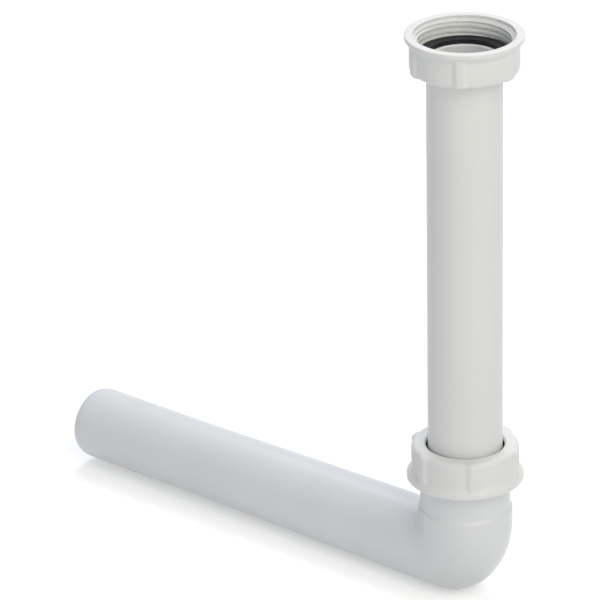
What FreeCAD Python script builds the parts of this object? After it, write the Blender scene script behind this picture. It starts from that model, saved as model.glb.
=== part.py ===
import FreeCAD, Part
import math
import os

from FreeCAD import Vector

# A 32 mm waste connection in white plastic: a threaded bend, a collared tail tube, two union nuts,
# a cone seal and a flat washer, assembled as installed. Millimetres, +Z up along the tail tube.
# The outlet leg points along -X. The origin is on the leg's axis where the spigot's wall begins.

# Pipe, shared by the tail tube and the bend's outlet
PIPE_R = 16.0
PIPE_WALL = 1.8
TIP_LENGTH = 4.0
TIP_TAPER = 1.1

# Tail tube
TUBE_LENGTH = 210.0
COLLAR_GAP = 0.4
COLLAR_THICK = 2.6
COLLAR_FILLET = 0.5
TUBE_STOP_GAP = 0.1

# Bend: the leg's reach is from the socket's axis, the elbow's outer line is a quarter ellipse, and
# the bell stands just inside the thread's crest
LEG_REACH = 213.0
SPIGOT_LENGTH = 60.0
LEG_ROOT_R = 17.4
BELL_STEP = 0.45
THROAT_R = 2.0
ELBOW_RUN = 27.0
ELBOW_RISE = 33.7
ELBOW_SECTIONS = 13
BELL_HEIGHT = 5.1
SOCKET_HEIGHT = 29.0
NECK_STEP = 0.15
MOUTH_CHAMFER = 0.7
STEP_RISE = 1.6
STEP_ROUND = 1.0
SOCKET_GAP = 0.4
STOP_RIB_COUNT = 3
STOP_RIB_SPACING = 90.0
STOP_RIB_WIDTH = 2.0
STOP_RIB_REACH = 2.0
STOP_RIB_DROP = 12.0

# Thread, the G 1 1/4 pitch with a rounded-off plastic profile, its crest measured from the pipe
PITCH = 2.309
THREAD_REACH = 4.75
MALE_CREST_FLAT = 0.36
THREAD_DEPTH = 1.25
THREAD_FLANK = 20.0
MALE_THREAD_LENGTH = 10.5
THREAD_GAP = 0.2
FLANK_GAP = 0.12
THREAD_OVERRUN = 0.45

# Union nut, measured from its closed end
NUT_HEIGHT = 16.0
NUT_FLOOR = 2.6
NUT_WALL = 2.15
NUT_BASE_ROUND = 2.3
NUT_BORE_GAP = 0.6
NUT_BORE_CHAMFER = 0.7
NUT_RELIEF_GAP = 0.25
RIM_STEP = 2.0
RIM_BAND = 1.6
RIM_FLARE = 2.7
RIM_ROUND = 0.6
MOUTH_STEP = 0.35
MOUTH_DEPTH = 1.3
MOUTH_LIP = 0.5
RIB_COUNT = 6
RIB_RISE = 0.8
RIB_WIDTH = 7.0
RIB_FLANK = 1.5
UPPER_RIB_TURN = 3.0
LOWER_RIB_TURN = 43.5

# Seals, whose radii are measured from the pipe's
SEAL_FLANGE_REACH = 3.4
SEAL_FLANGE_THICK = 2.2
CONE_TOP_REACH = 2.45
CONE_BOTTOM_REACH = 0.95
CONE_HEIGHT = 8.4
SEAL_PIPE_GAP = 0.15
SEAL_SEAT_GAP = 0.15
FUNNEL_REACH = 2.0
FUNNEL_DEPTH = 5.4
SEAL_ROUND = 0.4
WASHER_RIM_GAP = 0.2
WASHER_HOLE_STEP = 0.5
WASHER_THICK = 2.0
FACE_GAP = 0.1
WASHER_GAP = 0.2

# How far a cutting shape runs past the face that it opens, and when an ellipse counts as a circle
CUT_OVERRUN = 1.0
ROUND_ENOUGH = 0.001

# Sizes that follow from the ones above
BORE_R = PIPE_R - PIPE_WALL
SOCKET_R = PIPE_R + SOCKET_GAP
MALE_CREST_R = PIPE_R + THREAD_REACH
MALE_ROOT_R = MALE_CREST_R - THREAD_DEPTH
BELL_R = MALE_CREST_R - BELL_STEP
NECK_R = MALE_ROOT_R - NECK_STEP
ELBOW_X = -(BELL_R + THROAT_R)
ELBOW_Z = LEG_ROOT_R + THROAT_R
MOUTH_Z = ELBOW_Z + SOCKET_HEIGHT
STOP_Z = ELBOW_Z
TUBE_BOTTOM_Z = STOP_Z + TUBE_STOP_GAP
TUBE_TOP_Z = TUBE_BOTTOM_Z + TUBE_LENGTH
THREAD_BOTTOM_Z = MOUTH_Z - MALE_THREAD_LENGTH
FLANK_RUN = math.tan(math.radians(THREAD_FLANK))
NUT_CREST_R = MALE_ROOT_R + THREAD_GAP
NUT_ROOT_R = MALE_CREST_R + THREAD_GAP
NUT_RELIEF_R = NUT_ROOT_R + NUT_RELIEF_GAP
NUT_BODY_R = NUT_ROOT_R + NUT_WALL
RIM_R = NUT_BODY_R + RIM_STEP
MOUTH_R = NUT_ROOT_R + MOUTH_STEP
COLLAR_R = NUT_CREST_R - COLLAR_GAP
WASHER_R = NUT_CREST_R - WASHER_RIM_GAP
WASHER_HOLE_R = PIPE_R - WASHER_HOLE_STEP
SEAL_FLANGE_R = PIPE_R + SEAL_FLANGE_REACH
CONE_TOP_R = PIPE_R + CONE_TOP_REACH
CONE_BOTTOM_R = PIPE_R + CONE_BOTTOM_REACH
FUNNEL_R = PIPE_R + FUNNEL_REACH
NUT_BORE_R = PIPE_R + NUT_BORE_GAP
NUT_THREAD_Z = NUT_FLOOR + FACE_GAP + COLLAR_THICK + WASHER_THICK + WASHER_GAP
SEAL_TOP_Z = MOUTH_Z + FACE_GAP + SEAL_FLANGE_THICK
LOWER_NUT_TOP_Z = SEAL_TOP_Z + FACE_GAP + NUT_FLOOR
UPPER_NUT_BASE_Z = TUBE_TOP_Z - COLLAR_THICK - FACE_GAP - NUT_FLOOR
ORIGIN_SHIFT = Vector(LEG_REACH - TIP_LENGTH, 0, 0)

ORIGIN = Vector(0, 0, 0)
X_AXIS = Vector(1, 0, 0)
Y_AXIS = Vector(0, 1, 0)
Z_AXIS = Vector(0, 0, 1)


def corner_cut(before, corner, after, radius):
    """Start, middle and end of the arc of this radius that rounds a corner."""
    back = (before - corner).normalize()
    ahead = (after - corner).normalize()
    half = back.getAngle(ahead) / 2
    run = radius / math.tan(half)
    inward = (back + ahead).normalize()
    middle = corner + inward * (radius / math.sin(half) - radius)
    return corner + back * run, middle, corner + ahead * run


def rounded_wire(corners, place):
    """Closed wire through (u, v, radius) corners, each rounded by its radius; place maps u, v to space."""
    points = [place(u, v) for u, v, _ in corners]
    edges = []
    first = None
    last = None
    for i, (_, _, radius) in enumerate(corners):
        start = middle = end = points[i]
        if radius:
            start, middle, end = corner_cut(points[i - 1], points[i], points[(i + 1) % len(points)], radius)
        if last is not None and (start - last).Length > 1e-6:
            edges.append(Part.makeLine(last, start))
        if radius:
            edges.append(Part.Arc(start, middle, end).toShape())
        first = first if first is not None else start
        last = end
    if (first - last).Length > 1e-6:
        edges.append(Part.makeLine(last, first))
    return Part.Wire(Part.__sortEdges__(edges))


def in_section(r, z):
    return Vector(r, 0, z)


def in_plan(x, y):
    return Vector(x, y, 0)


def turned(corners):
    """Solid of revolution about Z from (r, z, corner radius) corners."""
    face = Part.Face(rounded_wire(corners, in_section))
    return face.revolve(ORIGIN, Z_AXIS, 360)


def tip_corner(end_z, inward):
    """The rounded corner that draws a pipe's last stretch in by TIP_TAPER; inward is +1 or -1 in z."""
    offset = (TIP_LENGTH ** 2 - TIP_TAPER ** 2) / (2 * TIP_LENGTH)
    radius = (TIP_LENGTH ** 2 + TIP_TAPER ** 2) / (2 * TIP_TAPER)
    return PIPE_R, end_z + inward * offset, radius


def thread_cutter(inner_r, inner_width, outer_r, outer_width, start_z, end_z):
    """Right-hand helical cutter whose section runs between two radii; it is centred on start_z at +X."""
    corners = [
        Vector(inner_r, 0, -inner_width / 2),
        Vector(outer_r, 0, -outer_width / 2),
        Vector(outer_r, 0, outer_width / 2),
        Vector(inner_r, 0, inner_width / 2),
    ]
    profile = Part.makePolygon(corners + corners[:1])
    one_turn = Part.makeHelix(PITCH, PITCH, inner_r).makePipeShell([profile], True, True)
    turns = []
    for i in range(math.ceil((end_z - start_z) / PITCH)):
        turns.append(one_turn.translated(Vector(0, 0, start_z + i * PITCH)))
    return turns[0].fuse(turns[1:])


def male_groove(start_z, end_z):
    """The groove between the turns of the socket's outside thread."""
    crest_width = PITCH - MALE_CREST_FLAT
    root_width = crest_width - 2 * THREAD_DEPTH * FLANK_RUN
    outer_r = MALE_CREST_R + THREAD_OVERRUN / 2
    outer_width = crest_width + 2 * (outer_r - MALE_CREST_R) * FLANK_RUN
    return thread_cutter(MALE_ROOT_R, root_width, outer_r, outer_width, start_z, end_z)


def female_groove(start_z, end_z):
    """The groove inside a nut that takes one turn of the socket's thread, with clearance all round."""
    ridge_at_crest = MALE_CREST_FLAT + 2 * FLANK_GAP
    root_width = ridge_at_crest - 2 * THREAD_GAP * FLANK_RUN
    inner_r = NUT_CREST_R - THREAD_OVERRUN
    inner_width = ridge_at_crest + 2 * (MALE_CREST_R - inner_r) * FLANK_RUN
    return thread_cutter(inner_r, inner_width, NUT_ROOT_R, root_width, start_z, end_z)


def elbow_reach(turn):
    """Distance from the throat's centre to the elbow's outer line, at this turn from the socket."""
    curve = Vector(BELL_R - ELBOW_RUN, 0, ELBOW_RISE - LEG_ROOT_R)
    if math.tan(turn) * (BELL_R - ELBOW_X) <= ELBOW_Z - curve.z:
        return (BELL_R - ELBOW_X) / math.cos(turn)
    if math.tan(turn) * (curve.x - ELBOW_X) >= ELBOW_Z + LEG_ROOT_R:
        return (ELBOW_Z + LEG_ROOT_R) / math.sin(turn)
    start = Vector((ELBOW_X - curve.x) / ELBOW_RUN, 0, (ELBOW_Z - curve.z) / ELBOW_RISE)
    step = Vector(math.cos(turn) / ELBOW_RUN, 0, -math.sin(turn) / ELBOW_RISE)
    along = start.dot(step)
    square = step.dot(step)
    return (math.sqrt(along ** 2 - square * (start.dot(start) - 1)) - along) / square


def elbow(socket_wall, leg_wall):
    """Quarter turn from the socket to the leg, this far inside the outer skin at its two ends."""
    sections = []
    for i in range(ELBOW_SECTIONS):
        turn = math.pi / 2 * i / (ELBOW_SECTIONS - 1)
        ease = math.sin(turn) ** 2
        wall = socket_wall + (leg_wall - socket_wall) * ease
        half_depth = (elbow_reach(turn) - THROAT_R) / 2
        half_width = BELL_R + (LEG_ROOT_R - BELL_R) * ease
        centre = Vector(ELBOW_X + THROAT_R + half_depth, 0, ELBOW_Z)
        depth_end = centre + X_AXIS * (half_depth - wall)
        width_end = centre + Y_AXIS * (half_width - wall)
        if half_depth - half_width > ROUND_ENOUGH:
            outline = Part.Ellipse(depth_end, width_end, centre).toShape()
        else:
            outline = Part.makeCircle(half_width - wall, centre, Z_AXIS)
        outline.rotate(Vector(ELBOW_X, 0, ELBOW_Z), Y_AXIS, math.degrees(turn))
        sections.append(Part.Wire([outline]))
    return Part.makeLoft(sections, True, False)


def along_leg(shape):
    """Turns a solid of revolution from +Z to the leg's direction."""
    shape.rotate(ORIGIN, Y_AXIS, -90)
    return shape


def bend_outside():
    leg = along_leg(turned([
        (0, -ELBOW_X, 0),
        (LEG_ROOT_R, -ELBOW_X, 0),
        (PIPE_R, LEG_REACH - SPIGOT_LENGTH, 0),
        tip_corner(LEG_REACH, -1),
        (PIPE_R - TIP_TAPER, LEG_REACH, 0),
        (0, LEG_REACH, 0),
    ]))
    socket = turned([
        (0, ELBOW_Z, 0),
        (BELL_R, ELBOW_Z, 0),
        (BELL_R, ELBOW_Z + BELL_HEIGHT - STEP_RISE, STEP_ROUND),
        (NECK_R, ELBOW_Z + BELL_HEIGHT, STEP_ROUND),
        (NECK_R, THREAD_BOTTOM_Z, 0),
        (MALE_CREST_R, THREAD_BOTTOM_Z + MOUTH_CHAMFER, 0),
        (MALE_CREST_R, MOUTH_Z - MOUTH_CHAMFER, 0),
        (MALE_CREST_R - MOUTH_CHAMFER, MOUTH_Z, 0),
        (0, MOUTH_Z, 0),
    ])
    socket = socket.cut(male_groove(THREAD_BOTTOM_Z - PITCH / 2, MOUTH_Z + PITCH / 2))
    return socket.fuse([elbow(0, 0), leg])


def bend_hollow():
    seat_slope = (CONE_TOP_R - CONE_BOTTOM_R) / CONE_HEIGHT
    cone_top_z = MOUTH_Z + FACE_GAP
    seat_bottom_z = cone_top_z - CONE_HEIGHT
    mouth_z = MOUTH_Z + CUT_OVERRUN
    seat_mouth_r = CONE_TOP_R + SEAL_SEAT_GAP + seat_slope * (mouth_z - cone_top_z)
    socket = turned([
        (0, ELBOW_Z, 0),
        (SOCKET_R, ELBOW_Z, 0),
        (SOCKET_R, seat_bottom_z - SEAL_SEAT_GAP, 0),
        (CONE_BOTTOM_R + SEAL_SEAT_GAP, seat_bottom_z - SEAL_SEAT_GAP, 0),
        (seat_mouth_r, mouth_z, 0),
        (0, mouth_z, 0),
    ])
    leg = along_leg(turned([
        (0, -ELBOW_X, 0),
        (BORE_R, -ELBOW_X, 0),
        (BORE_R, LEG_REACH + CUT_OVERRUN, 0),
        (0, LEG_REACH + CUT_OVERRUN, 0),
    ]))
    turn = elbow(BELL_R - SOCKET_R, LEG_ROOT_R - BORE_R)
    return socket.fuse([turn, leg]), turn


def stop_ribs(turn):
    """Ribs round the outside of the turn, below the socket, that the tail tube comes to rest on."""
    bottom_z = STOP_Z - STOP_RIB_DROP
    ribs = []
    for i in range(STOP_RIB_COUNT):
        corner = Vector(0, -STOP_RIB_WIDTH / 2, bottom_z)
        plate = Part.makeBox(BELL_R, STOP_RIB_WIDTH, STOP_RIB_DROP, corner)
        plate.rotate(ORIGIN, Z_AXIS, STOP_RIB_SPACING * (i - (STOP_RIB_COUNT - 1) / 2))
        ribs.append(plate)
    way_bottom = Vector(0, 0, bottom_z - CUT_OVERRUN)
    way = Part.makeCylinder(SOCKET_R - STOP_RIB_REACH, STOP_RIB_DROP + 2 * CUT_OVERRUN, way_bottom)
    return [rib.common(turn).cut(way) for rib in ribs]


def waste_bend():
    hollow, turn = bend_hollow()
    return bend_outside().cut(hollow).fuse(stop_ribs(turn))


def tail_tube():
    collar_bottom = TUBE_TOP_Z - COLLAR_THICK
    return turned([
        (BORE_R, TUBE_BOTTOM_Z, 0),
        (PIPE_R - TIP_TAPER, TUBE_BOTTOM_Z, 0),
        tip_corner(TUBE_BOTTOM_Z, 1),
        (PIPE_R, collar_bottom, COLLAR_FILLET),
        (COLLAR_R, collar_bottom, COLLAR_FILLET),
        (COLLAR_R, TUBE_TOP_Z, COLLAR_FILLET),
        (BORE_R, TUBE_TOP_Z, COLLAR_FILLET),
    ])


def nut_ribs(turn):
    """Grip ribs round the nut: sloped-sided bars that follow the nut's rounded base edge."""
    rib_r = NUT_BODY_R + RIB_RISE
    top_z = NUT_HEIGHT - RIM_BAND - RIM_FLARE / 3
    envelope = turned([
        (0, 0, 0),
        (rib_r, 0, NUT_BASE_ROUND),
        (rib_r, top_z, 0),
        (0, top_z, 0),
    ])
    root_x = NUT_BODY_R - NUT_BASE_ROUND
    flank_x = math.sqrt(NUT_BODY_R ** 2 - (RIB_WIDTH / 2) ** 2)
    half_root = RIB_WIDTH / 2
    outer_x = rib_r + RIB_RISE / 2
    half_outer = half_root - RIB_FLANK * (outer_x - flank_x) / (rib_r - flank_x)
    bars = []
    for i in range(RIB_COUNT):
        outline = rounded_wire([
            (root_x, -half_root, 0),
            (flank_x, -half_root, 0),
            (outer_x, -half_outer, 0),
            (outer_x, half_outer, 0),
            (flank_x, half_root, 0),
            (root_x, half_root, 0),
        ], in_plan)
        bar = Part.Face(outline).extrude(Vector(0, 0, top_z))
        bar.rotate(ORIGIN, Z_AXIS, turn + 360.0 * i / RIB_COUNT)
        bars.append(bar.common(envelope))
    return bars


def union_nut(rib_turn, thread_start):
    """Union nut, mouth upwards, standing on its closed end at z = 0."""
    mouth_z = NUT_HEIGHT - MOUTH_DEPTH
    outside = turned([
        (0, 0, 0),
        (NUT_BODY_R, 0, NUT_BASE_ROUND),
        (NUT_BODY_R, NUT_HEIGHT - RIM_BAND - RIM_FLARE, 0),
        (RIM_R, NUT_HEIGHT - RIM_BAND, RIM_ROUND),
        (RIM_R, NUT_HEIGHT, RIM_ROUND),
        (0, NUT_HEIGHT, 0),
    ])
    hollow = turned([
        (0, -CUT_OVERRUN, 0),
        (NUT_BORE_R + NUT_BORE_CHAMFER + CUT_OVERRUN, -CUT_OVERRUN, 0),
        (NUT_BORE_R, NUT_BORE_CHAMFER, 0),
        (NUT_BORE_R, NUT_FLOOR - NUT_BORE_CHAMFER, 0),
        (NUT_BORE_R + NUT_BORE_CHAMFER, NUT_FLOOR, 0),
        (NUT_RELIEF_R, NUT_FLOOR, 0),
        (NUT_RELIEF_R, NUT_THREAD_Z, 0),
        (NUT_CREST_R, NUT_THREAD_Z, 0),
        (NUT_CREST_R, mouth_z - (MOUTH_R - NUT_CREST_R), 0),
        (MOUTH_R, mouth_z, 0),
        (MOUTH_R, NUT_HEIGHT - MOUTH_LIP, 0),
        (MOUTH_R + MOUTH_LIP + CUT_OVERRUN, NUT_HEIGHT + CUT_OVERRUN, 0),
        (0, NUT_HEIGHT + CUT_OVERRUN, 0),
    ])
    body = outside.fuse(nut_ribs(rib_turn)).cut(hollow)
    return body.cut(female_groove(thread_start, NUT_HEIGHT + PITCH / 2))


def thread_start_for(phase_z):
    """Height in the nut's relief at which its groove starts, in step with phase_z turn for turn."""
    lowest = NUT_FLOOR + PITCH / 2
    return lowest + (phase_z - lowest) % PITCH


def upper_union_nut():
    nut = union_nut(UPPER_RIB_TURN, thread_start_for(NUT_THREAD_Z))
    nut.translate(Vector(0, 0, UPPER_NUT_BASE_Z))
    return nut


def lower_union_nut():
    """The nut turned over and screwed onto the socket, its groove in step with the socket's ridge."""
    nut = union_nut(LOWER_RIB_TURN, thread_start_for(LOWER_NUT_TOP_Z - THREAD_BOTTOM_Z))
    nut.rotate(ORIGIN, X_AXIS, 180)
    nut.translate(Vector(0, 0, LOWER_NUT_TOP_Z))
    return nut


def cone_seal():
    flange_bottom = MOUTH_Z + FACE_GAP
    bottom = flange_bottom - CONE_HEIGHT
    bore = PIPE_R + SEAL_PIPE_GAP
    return turned([
        (bore, bottom, 0),
        (CONE_BOTTOM_R, bottom, 0),
        (CONE_TOP_R, flange_bottom, 0),
        (SEAL_FLANGE_R, flange_bottom, 0),
        (SEAL_FLANGE_R, SEAL_TOP_Z, SEAL_ROUND),
        (FUNNEL_R, SEAL_TOP_Z, SEAL_ROUND),
        (bore, SEAL_TOP_Z - FUNNEL_DEPTH, 0),
    ])


def flat_washer():
    return turned([
        (WASHER_HOLE_R, TUBE_TOP_Z, 0),
        (WASHER_R, TUBE_TOP_Z, 0),
        (WASHER_R, TUBE_TOP_Z + WASHER_THICK, 0),
        (WASHER_HOLE_R, TUBE_TOP_Z + WASHER_THICK, 0),
    ])


def build():
    pieces = {
        "waste_bend": waste_bend(),
        "tail_tube": tail_tube(),
        "upper_union_nut": upper_union_nut(),
        "lower_union_nut": lower_union_nut(),
        "cone_seal": cone_seal(),
        "flat_washer": flat_washer(),
    }
    os.makedirs("parts", exist_ok=True)
    for name, shape in pieces.items():
        shape.translate(ORIGIN_SHIFT)
        shape.exportStep("parts/" + name + ".step")
    return pieces


pieces = build()
for name, shape in pieces.items():
    print(name, shape.ShapeType, len(shape.Solids), shape.isValid(), round(shape.Volume, 2))
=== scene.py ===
import math

import bpy
from mathutils import Matrix, Vector


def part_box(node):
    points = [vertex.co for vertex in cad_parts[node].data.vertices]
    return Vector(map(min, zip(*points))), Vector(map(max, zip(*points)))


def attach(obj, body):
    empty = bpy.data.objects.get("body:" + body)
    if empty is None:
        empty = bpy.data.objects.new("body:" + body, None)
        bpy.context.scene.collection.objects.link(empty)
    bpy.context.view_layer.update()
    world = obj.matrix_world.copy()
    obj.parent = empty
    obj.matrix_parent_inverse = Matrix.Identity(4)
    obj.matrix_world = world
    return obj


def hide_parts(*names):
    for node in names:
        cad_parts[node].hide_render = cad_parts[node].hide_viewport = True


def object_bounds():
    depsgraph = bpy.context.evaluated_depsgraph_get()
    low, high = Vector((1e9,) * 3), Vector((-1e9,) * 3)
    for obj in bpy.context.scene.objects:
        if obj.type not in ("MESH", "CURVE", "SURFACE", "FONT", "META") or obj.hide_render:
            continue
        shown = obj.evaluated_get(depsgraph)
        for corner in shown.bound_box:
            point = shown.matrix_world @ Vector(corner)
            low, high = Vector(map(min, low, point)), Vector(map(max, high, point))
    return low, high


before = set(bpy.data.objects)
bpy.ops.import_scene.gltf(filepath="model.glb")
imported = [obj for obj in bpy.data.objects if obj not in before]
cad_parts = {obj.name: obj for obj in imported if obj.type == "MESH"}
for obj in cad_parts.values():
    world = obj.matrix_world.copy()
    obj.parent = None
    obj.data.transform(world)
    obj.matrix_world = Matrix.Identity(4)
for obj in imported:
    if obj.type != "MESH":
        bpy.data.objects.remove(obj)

cad_low, cad_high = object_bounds()

# A white plastic waste connection: a bend with a long outlet leg, a tail tube, two ribbed union
# nuts, a cone seal and a flat washer. Metres, +Z up along the tail tube, the leg along -X.

MM = 0.001
MIDDLE = (cad_low + cad_high) / 2
WHITE = (1.0, 1.0, 1.0, 1.0)

# Camera: a long lens on the elbow's side, aimed a little aside of the object's middle and below it
VIEW_AZIMUTH = 40.0
VIEW_ELEVATION = 24.5
VIEW_DISTANCE = 2.2
VIEW_ROLL = -0.95
LENS = 304.0
SENSOR = 36.0
CLIP_NEAR = 0.1
CLIP_FAR = 50.0
AIM_ASIDE = 0.0025
AIM_RISE = -0.018

# Lamps: degrees past the camera's azimuth, elevation, watts and colour
LAMPS = {
    "key": (32, 40, 11.2, (1.0, 0.95, 0.81)),
    "back": (165, 60, 13.2, (0.985, 0.98, 1.0)),
    "front": (-25, 5, 2.8, (1.0, 0.95, 0.82)),
}
LAMP_DISTANCE = 1.6
LAMP_SIZE = 1.2
AMBIENT = 0.38
AMBIENT_COLOUR = (0.82, 0.86, 0.94)

# Floor just under the object; its glow rises to full white between two distances from the origin
FLOOR_DROP = 0.0002
FLOOR_SIZE = 12.0
FLOOR_GREY = 0.84
FLOOR_ROUGH = 0.9
FLOOR_GLOW = 0.4
GLOW_NEAR = 0.4
GLOW_FAR = 1.8

# Noises: scale per metre, and detail
PLASTIC_CLOUDS = (28.0, 2.0)
PLASTIC_GLOSS = (90.0, 3.0)
PLASTIC_WAVES = (140.0, 2.0)
PLASTIC_SKIN = (2600.0, 2.0)
RUBBER_CLOUDS = (160.0, 4.0)
RUBBER_GLOSS = (420.0, 3.0)
RUBBER_GRAIN = (3200.0, 3.0)
RAMP_START = 0.3
RAMP_END = 0.7

# White plastic: the colour and roughness of each part, then what all of them share
BEND_COLOUR = (0.788, 0.811, 0.834)
BEND_ROUGH = 0.30
TUBE_COLOUR = (0.80, 0.81, 0.81)
TUBE_ROUGH = 0.38
NUT_COLOUR = (0.81, 0.82, 0.82)
NUT_ROUGH = 0.38
CLOUD_SHADE = 0.97
GLOSS_SWING = 0.05
WAVE_DEPTH = 0.06 * MM
WAVE_STRENGTH = 0.2
SKIN_DEPTH = 0.012 * MM
SKIN_STRENGTH = 0.3
SCATTER_WEIGHT = 0.12
SCATTER_RADIUS = (3.0 * MM, 2.6 * MM, 2.2 * MM)
SCATTER_SCALE = 0.6
PLASTIC_IOR = 1.49

# Black rubber
RUBBER_DARK = (0.009, 0.009, 0.012)
RUBBER_PALE = (0.015, 0.015, 0.019)
RUBBER_ROUGH_LOW = 0.46
RUBBER_ROUGH_HIGH = 0.64
GRAIN_DEPTH = 0.02 * MM
GRAIN_STRENGTH = 0.5
RUBBER_SPECULAR = 0.3

# Union nut: heights run from its closed end; its height, rim and axis are those of the CAD nut
NUT_COLUMNS = 360
SHARP_ANGLE = 38.0
BODY_R = 23.1 * MM
BASE_ROUND = 2.3 * MM
BASE_STEPS = 10
FLARE_FOOT = 11.7 * MM
RIM_BAND = 1.6 * MM
RIM_ROUND = 0.6 * MM
RIM_STEPS = 5
RIM_FOOT_ANGLE = -30.0
RIM_FOOT_STEPS = 3
BORE_R = 16.9 * MM
BORE_CHAMFER = 0.7 * MM
END_THICK = 2.6 * MM
RELIEF_R = 21.2 * MM
MOUTH_R = 21.3 * MM
MOUTH_DEPTH = 1.3 * MM
MOUTH_LIP = 0.5 * MM
LIP_STEPS = 5

# Ribs of the nuts, and the degrees from +X to a rib's middle while the nut stands mouth upwards
RIB_COUNT = 6
RIB_RISE = 1.15 * MM
RIB_TOP = 1.8 * MM
RIB_FLANK = 2.6 * MM
RIB_BLEND = 0.5 * MM
UPPER_RIB_TURN = 3.0
LOWER_RIB_TURN = 43.5

# Inside thread of the nuts, and the length of the socket's outside thread up to its mouth
PITCH = 2.309 * MM
CREST_R = 19.7 * MM
ROOT_R = 20.95 * MM
GROOVE_FLOOR = 0.454 * MM
FLANK_RUN = 0.364
THREAD_FOOT = 7.5 * MM
THREAD_ROW = 0.1 * MM
THREAD_ROUND = 0.08 * MM
SOCKET_THREAD = 10.5 * MM


def new_material(name):
    """A new material, its node tree and its shader."""
    material = bpy.data.materials.new(name)
    material.use_nodes = True
    tree = material.node_tree
    return material, tree, tree.nodes["Principled BSDF"]


def add_node(tree, kind, values):
    """A new node with the values of its named inputs."""
    node = tree.nodes.new(kind)
    for socket, value in values.items():
        node.inputs[socket].default_value = value
    return node


def noise(tree, scale, detail):
    """Noise in the object's own metres, so that its grain keeps its real size."""
    place = tree.nodes.new("ShaderNodeTexCoord")
    grain = add_node(tree, "ShaderNodeTexNoise", {"Scale": scale, "Detail": detail})
    tree.links.new(place.outputs["Object"], grain.inputs["Vector"])
    return grain.outputs["Fac"]


def ramp(tree, source, low, high):
    """Colour that runs from low to high over the middle of a noise's range."""
    node = tree.nodes.new("ShaderNodeValToRGB")
    first, last = node.color_ramp.elements
    first.position, first.color = RAMP_START, (*low, 1)
    last.position, last.color = RAMP_END, (*high, 1)
    tree.links.new(source, node.inputs["Fac"])
    return node.outputs["Color"]


def spread(tree, source, low, high):
    """Number that runs from low to high with a noise."""
    node = add_node(tree, "ShaderNodeMapRange", {"To Min": low, "To Max": high})
    tree.links.new(source, node.inputs["Value"])
    return node.outputs["Result"]


def bump(tree, height, distance, strength, below=None):
    """Bump over an optional coarser one; its normal."""
    node = add_node(tree, "ShaderNodeBump", {"Distance": distance, "Strength": strength})
    tree.links.new(height, node.inputs["Height"])
    if below is not None:
        tree.links.new(below, node.inputs["Normal"])
    return node.outputs["Normal"]


def white_plastic(name, colour, rough):
    """Satin white polypropylene: faint clouds in its colour and gloss, and a fine moulded skin."""
    material, tree, shader = new_material(name)
    shade = tuple(c * CLOUD_SHADE for c in colour)
    tint = ramp(tree, noise(tree, *PLASTIC_CLOUDS), shade, colour)
    gloss = spread(tree, noise(tree, *PLASTIC_GLOSS), rough - GLOSS_SWING, rough + GLOSS_SWING)
    waves = bump(tree, noise(tree, *PLASTIC_WAVES), WAVE_DEPTH, WAVE_STRENGTH)
    skin = bump(tree, noise(tree, *PLASTIC_SKIN), SKIN_DEPTH, SKIN_STRENGTH, waves)
    tree.links.new(tint, shader.inputs["Base Color"])
    tree.links.new(gloss, shader.inputs["Roughness"])
    tree.links.new(skin, shader.inputs["Normal"])
    shader.inputs["Subsurface Weight"].default_value = SCATTER_WEIGHT
    shader.inputs["Subsurface Radius"].default_value = SCATTER_RADIUS
    shader.inputs["Subsurface Scale"].default_value = SCATTER_SCALE
    shader.inputs["IOR"].default_value = PLASTIC_IOR
    return material


def black_rubber(name):
    """Moulded black rubber: a dull skin with fine grain and a faint bloom."""
    material, tree, shader = new_material(name)
    tint = ramp(tree, noise(tree, *RUBBER_CLOUDS), RUBBER_DARK, RUBBER_PALE)
    gloss = spread(tree, noise(tree, *RUBBER_GLOSS), RUBBER_ROUGH_LOW, RUBBER_ROUGH_HIGH)
    grain = bump(tree, noise(tree, *RUBBER_GRAIN), GRAIN_DEPTH, GRAIN_STRENGTH)
    tree.links.new(tint, shader.inputs["Base Color"])
    tree.links.new(gloss, shader.inputs["Roughness"])
    tree.links.new(grain, shader.inputs["Normal"])
    shader.inputs["Specular IOR Level"].default_value = RUBBER_SPECULAR
    return material


def give(node, material):
    """Puts a material on a CAD node."""
    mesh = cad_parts[node].data
    mesh.materials.clear()
    mesh.materials.append(material)


def seen_directly(tree):
    """1 for camera, glossy and transmission rays, which see the background's own white, else 0."""
    rays = tree.nodes.new("ShaderNodeLightPath")
    seen = rays.outputs["Is Camera Ray"]
    for other in ("Is Glossy Ray", "Is Transmission Ray"):
        either = tree.nodes.new("ShaderNodeMath")
        either.operation = "MAXIMUM"
        tree.links.new(seen, either.inputs[0])
        tree.links.new(rays.outputs[other], either.inputs[1])
        seen = either.outputs["Value"]
    return seen


def seen_or_not(tree, unseen, seen):
    """One shader for rays that see the background directly, and another for all other rays."""
    mix = tree.nodes.new("ShaderNodeMixShader")
    tree.links.new(seen_directly(tree), mix.inputs["Fac"])
    tree.links.new(unseen, mix.inputs[1])
    tree.links.new(seen, mix.inputs[2])
    return mix.outputs["Shader"]


def put(name, data):
    """A new object in the scene."""
    thing = bpy.data.objects.new(name, data)
    bpy.context.scene.collection.objects.link(thing)
    return thing


def outward(azimuth, elevation):
    """Unit vector from the object towards a camera or lamp at this azimuth and elevation."""
    a, e = math.radians(azimuth), math.radians(elevation)
    return Vector((math.sin(a) * math.cos(e), -math.cos(a) * math.cos(e), math.sin(e)))


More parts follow.
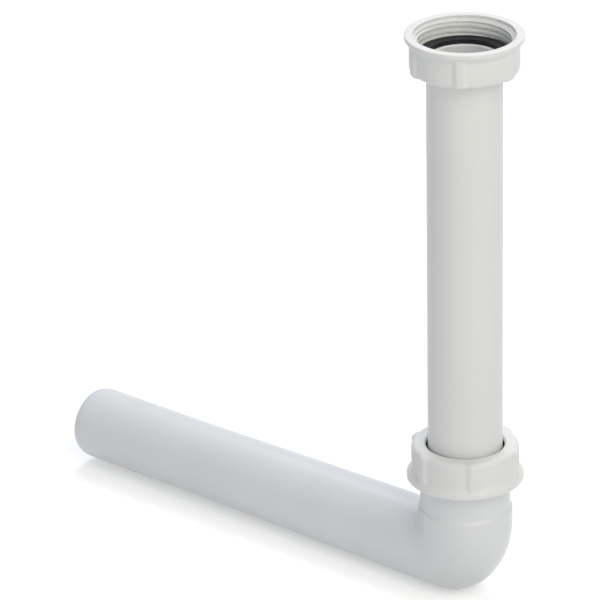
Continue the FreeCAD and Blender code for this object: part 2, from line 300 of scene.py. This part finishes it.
def sky():
    """World that is white where it is seen and a dimmer, faintly cool light elsewhere."""
    world = bpy.data.worlds.new("studio")
    bpy.context.scene.world = world
    world.use_nodes = True
    tree = world.node_tree
    soft = tree.nodes["Background"]
    soft.inputs["Color"].default_value = (*AMBIENT_COLOUR, 1)
    soft.inputs["Strength"].default_value = AMBIENT
    white = add_node(tree, "ShaderNodeBackground", {"Color": WHITE})
    mix = seen_or_not(tree, soft.outputs["Background"], white.outputs["Background"])
    tree.links.new(mix, tree.nodes["World Output"].inputs["Surface"])


def lamp(name, aside, elevation, watts, colour):
    """Square area light aimed at the object's middle."""
    light = bpy.data.lights.new(name, "AREA")
    light.size = LAMP_SIZE
    light.energy = watts
    light.color = colour
    holder = put(name, light)
    away = outward(VIEW_AZIMUTH + aside, elevation)
    holder.location = MIDDLE + away * LAMP_DISTANCE
    holder.rotation_euler = (-away).to_track_quat("-Z", "Y").to_euler()


def floor_paint():
    """Matt paint with a glow where it is seen, which grows to white past the lamps' reach."""
    material, tree, shader = new_material("pale_floor")
    shader.inputs["Base Color"].default_value = (FLOOR_GREY, FLOOR_GREY, FLOOR_GREY, 1)
    shader.inputs["Roughness"].default_value = FLOOR_ROUGH
    shader.inputs["Specular IOR Level"].default_value = 0.0
    place = tree.nodes.new("ShaderNodeTexCoord")
    away = tree.nodes.new("ShaderNodeVectorMath")
    away.operation = "LENGTH"
    tree.links.new(place.outputs["Object"], away.inputs[0])
    reach = {"From Min": GLOW_NEAR, "From Max": GLOW_FAR, "To Min": FLOOR_GLOW, "To Max": 1.0}
    rise = add_node(tree, "ShaderNodeMapRange", reach)
    tree.links.new(away.outputs["Value"], rise.inputs["Value"])
    glow = tree.nodes.new("ShaderNodeEmission")
    tree.links.new(rise.outputs["Result"], glow.inputs["Strength"])
    dark = add_node(tree, "ShaderNodeEmission", {"Strength": 0.0})
    only_seen = seen_or_not(tree, dark.outputs["Emission"], glow.outputs["Emission"])
    both = tree.nodes.new("ShaderNodeAddShader")
    tree.links.new(shader.outputs["BSDF"], both.inputs[0])
    tree.links.new(only_seen, both.inputs[1])
    tree.links.new(both.outputs["Shader"], tree.nodes["Material Output"].inputs["Surface"])
    return material


def floor():
    """Pale floor that renders white, also past the lamps' reach, and keeps the object's shadow."""
    half = FLOOR_SIZE / 2
    z = cad_low.z - FLOOR_DROP
    corners = [(-half, -half, z), (half, -half, z), (half, half, z), (-half, half, z)]
    mesh = bpy.data.meshes.new("floor")
    mesh.from_pydata(corners, [], [(0, 1, 2, 3)])
    mesh.materials.append(floor_paint())
    ground = put("floor", mesh)


def camera():
    """Camera on a long lens; its roll sets the tube upright in the picture."""
    data = bpy.data.cameras.new("camera")
    data.lens = LENS
    data.sensor_width = SENSOR
    data.clip_start = CLIP_NEAR
    data.clip_end = CLIP_FAR
    eye = put("camera", data)
    azimuth = math.radians(VIEW_AZIMUTH)
    level = Vector((math.cos(azimuth), math.sin(azimuth), 0))
    back = outward(VIEW_AZIMUTH, VIEW_ELEVATION)
    eye.location = MIDDLE + level * AIM_ASIDE + Vector((0, 0, AIM_RISE)) + back * VIEW_DISTANCE
    right = Matrix.Rotation(math.radians(VIEW_ROLL), 3, back) @ level
    eye.rotation_mode = "QUATERNION"
    eye.rotation_quaternion = Matrix((right, back.cross(right), back)).transposed().to_quaternion()
    bpy.context.scene.camera = eye


def smooth(x):
    """0 below 0, 1 above 1 and an even ease between."""
    x = min(max(x, 0.0), 1.0)
    return x * x * (3 - 2 * x)


def soft_max(a, b, blend):
    """The larger of two lengths, with a fillet where they are nearly equal."""
    ease = max(blend - abs(a - b), 0.0) / blend
    return max(a, b) + ease * ease * blend / 4


def arc(centre_r, centre_z, radius, start, end, steps):
    """(r, z) points on an arc between two angles in degrees."""
    points = []
    for i in range(steps + 1):
        a = math.radians(start + (end - start) * i / steps)
        points.append((centre_r + radius * math.cos(a), centre_z + radius * math.sin(a)))
    return points


def rows_between(first, last, step):
    """Evenly spaced heights from first to last, about a step apart."""
    count = max(1, round(abs(last - first) / step))
    return [first + (last - first) * i / count for i in range(count + 1)]


def rib_share(turn):
    """How much of the ribs' full rise stands at this angle from a rib's middle."""
    spacing = 2 * math.pi / RIB_COUNT
    aside = abs((turn + spacing / 2) % spacing - spacing / 2) * BODY_R
    return 1 - smooth((aside - RIB_TOP / 2) / RIB_FLANK)


def thread_r(turn, z, phase):
    """Radius of the inside thread: a groove, a flank or the crest between two grooves."""
    aside = (z - phase - PITCH * turn / (2 * math.pi) + PITCH / 2) % PITCH - PITCH / 2
    flank = ROOT_R - (abs(aside) - GROOVE_FLOOR / 2) / FLANK_RUN
    return soft_max(-soft_max(-flank, -ROOT_R, THREAD_ROUND), CREST_R, THREAD_ROUND)


def nut_outside(height, rim_r, rise):
    """Points from the bore's chamfer out over the closed end, up the body and round the rim."""
    flare_top = height - RIM_BAND
    slope = (rim_r - BODY_R) / (flare_top - FLARE_FOOT)
    points = [(BORE_R + BORE_CHAMFER, 0.0), (BODY_R - BASE_ROUND - RIB_RISE, 0.0)]
    for r, z in arc(BODY_R - BASE_ROUND, BASE_ROUND, BASE_ROUND, -90, 0, BASE_STEPS):
        points.append((r + rise, z))
    for z in rows_between(2 * BASE_ROUND, FLARE_FOOT - 2 * RIB_BLEND, BASE_ROUND):
        points.append((BODY_R + rise, z))
    for z in rows_between(FLARE_FOOT - RIB_BLEND, flare_top - RIM_ROUND, RIB_BLEND / 2):
        flare = BODY_R + slope * (z - FLARE_FOOT)
        points.append((soft_max(BODY_R + rise, flare, RIB_BLEND), z))
    points += arc(rim_r - RIM_ROUND, flare_top, RIM_ROUND, RIM_FOOT_ANGLE, 0, RIM_FOOT_STEPS)
    points += arc(rim_r - RIM_ROUND, height - RIM_ROUND, RIM_ROUND, 0, 90, RIM_STEPS)
    return points


def nut_inside(height, turn, phase):
    """Points from the mouth's rounded lip down the thread and its relief to the bore."""
    points = arc(MOUTH_R + MOUTH_LIP, height - MOUTH_LIP, MOUTH_LIP, 90, 180, LIP_STEPS)
    for z in rows_between(height - MOUTH_LIP - THREAD_ROW, THREAD_FOOT, THREAD_ROW):
        lead = MOUTH_R - max(height - MOUTH_DEPTH - z, 0.0)
        points.append((max(thread_r(turn, z, phase), lead), z))
    points += [(RELIEF_R, THREAD_FOOT), (RELIEF_R, END_THICK), (BORE_R + BORE_CHAMFER, END_THICK)]
    points += [(BORE_R, END_THICK - BORE_CHAMFER), (BORE_R, BORE_CHAMFER)]
    return points


def ring_faces(columns, rows):
    """Four-sided faces that join columns of points into a closed ring, each column a closed loop."""
    faces = []
    for i in range(columns):
        ahead = (i + 1) % columns
        for j in range(rows):
            above = (j + 1) % rows
            faces.append((i * rows + j, ahead * rows + j, ahead * rows + above, i * rows + above))
    return faces


def union_nut(name, node, body, rib_turn, phase, turned_over, material):
    """Moulded nut with soft-shouldered ribs and a true thread, in the place of its CAD node."""
    low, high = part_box(node)
    axis = (low + high) / 2
    height = high.z - low.z
    rim_r = (high.x - low.x) / 2
    verts = []
    for i in range(NUT_COLUMNS):
        turn = 2 * math.pi * i / NUT_COLUMNS
        rise = RIB_RISE * rib_share(turn - math.radians(rib_turn))
        section = nut_outside(height, rim_r, rise) + nut_inside(height, turn, phase)
        for r, z in section:
            x, y = r * math.cos(turn), r * math.sin(turn)
            if turned_over:
                verts.append((axis.x + x, axis.y - y, high.z - z))
            else:
                verts.append((axis.x + x, axis.y + y, low.z + z))
    faces = ring_faces(NUT_COLUMNS, len(section))
    mesh = bpy.data.meshes.new(name)
    mesh.from_pydata(verts, [], faces)
    mesh.polygons.foreach_set("use_smooth", [True] * len(faces))
    mesh.set_sharp_from_angle(angle=math.radians(SHARP_ANGLE))
    mesh.materials.append(material)
    piece = put(name, mesh)
    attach(piece, body)
    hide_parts(node)


def union_nuts(material):
    """The upper nut mouth upwards, and the lower one turned over in step with the socket's thread."""
    union_nut("upper_nut", "upper_union_nut", "upper_nut", UPPER_RIB_TURN, THREAD_FOOT, False, material)
    socket_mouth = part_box("waste_bend")[1].z
    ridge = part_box("lower_union_nut")[1].z - (socket_mouth - SOCKET_THREAD)
    union_nut("lower_nut", "lower_union_nut", "lower_nut", LOWER_RIB_TURN, ridge, True, material)


give("waste_bend", white_plastic("bend_white", BEND_COLOUR, BEND_ROUGH))
give("tail_tube", white_plastic("tube_white", TUBE_COLOUR, TUBE_ROUGH))
rubber = black_rubber("seal_black")
give("cone_seal", rubber)
give("flat_washer", rubber)
nut_white = white_plastic("nut_white", NUT_COLOUR, NUT_ROUGH)
give("upper_union_nut", nut_white)
give("lower_union_nut", nut_white)
union_nuts(nut_white)

sky()
for lamp_name, lamp_values in LAMPS.items():
    lamp(lamp_name, *lamp_values)
floor()
camera()
bpy.context.scene.view_settings.view_transform = "Standard"
